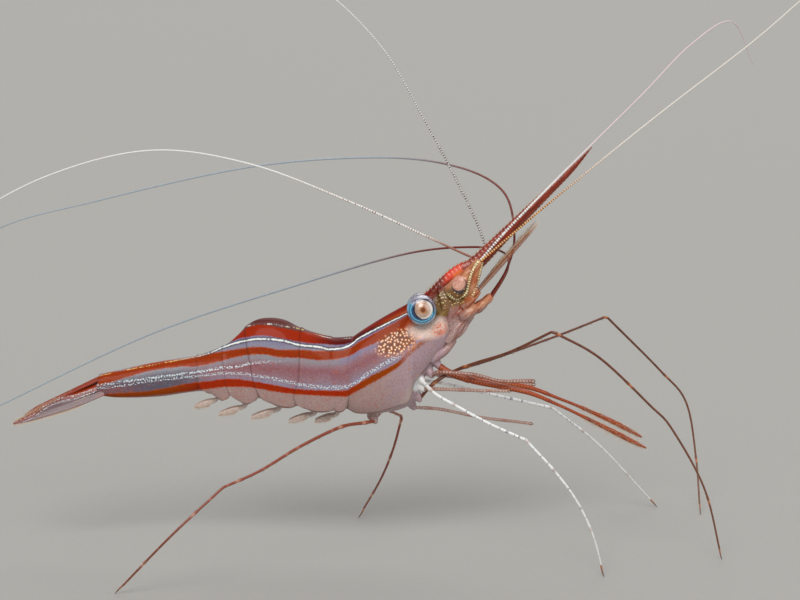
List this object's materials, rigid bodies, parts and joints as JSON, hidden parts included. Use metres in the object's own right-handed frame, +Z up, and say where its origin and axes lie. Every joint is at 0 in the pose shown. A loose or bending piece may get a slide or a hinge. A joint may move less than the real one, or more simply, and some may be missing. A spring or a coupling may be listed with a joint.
{
  "type": "shrimp",
  "caption": "Life-size standing shrimp with a long toothed rostrum, sweeping feelers and a red and white striped body, as a still museum model.",
  "frame": {"origin": "middle of the bounding box on the floor the feet stand on", "axes": "+X forward, the way the head points, +Y the animal's left, +Z up"},
  "size_m": [0.1844, 0.0806, 0.1111],
  "materials": {
    "shell": "thin glossy shell, striped in red, white and mauve",
    "red": "deep red-orange shell, glossy",
    "flesh": "soft mauve-pink skin, satin",
    "eye": "mirror-bright blue cornea round a pale pupil",
    "white": "thin glossy shell with white beads",
    "brown": "thin glossy shell, red-brown",
    "clear": "thin glossy shell, pale and half clear"
  },
  "bodies": {
    "root": {"abdomen_1": "shell", "abdomen_2": "shell", "abdomen_3": "shell", "abdomen_4": "shell", "abdomen_5": "shell", "abdomen_6": "shell", "antenna_left_1": "clear", "antenna_left_2": "clear", "antenna_right_1": "clear", "antenna_right_2": "clear", "antenna_stem_left": "flesh", "antenna_stem_right": "flesh", "antennal_scale_left": "clear", "antennal_scale_right": "clear", "antennule_inner_left_1": "clear", "antennule_inner_left_2": "clear", "antennule_inner_right_1": "clear", "antennule_inner_right_2": "clear", "antennule_outer_left_1": "clear", "antennule_outer_left_2": "clear", "antennule_outer_right_1": "clear", "antennule_outer_right_2": "clear", "antennule_stem_left": "flesh", "antennule_stem_right": "flesh", "brown_leg_left_lower": "brown", "brown_leg_left_upper": "brown", "brown_leg_right_lower": "brown", "brown_leg_right_upper": "brown", "carapace": "shell", "cheliped_1_left": "clear", "cheliped_1_right": "clear", "cheliped_2_left": "clear", "cheliped_2_right": "clear", "eye_left": "eye", "eye_right": "eye", "eyestalk_left": "flesh", "eyestalk_right": "flesh", "head": "flesh", "maxilliped_left": "red", "maxilliped_right": "red", "red_leg_left_lower": "red", "red_leg_left_upper": "red", "red_leg_right_lower": "red", "red_leg_right_upper": "red", "rostrum": "red", "swimmerets_1": "flesh", "swimmerets_2": "flesh", "swimmerets_3": "flesh", "swimmerets_4": "flesh", "swimmerets_5": "flesh", "telson": "red", "thorax": "flesh", "uropod_inner_left": "red", "uropod_inner_right": "red", "uropod_outer_left": "red", "uropod_outer_right": "red", "white_leg_left_lower": "white", "white_leg_left_upper": "white", "white_leg_right_lower": "white", "white_leg_right_upper": "white"}
  },
  "joints": []
}
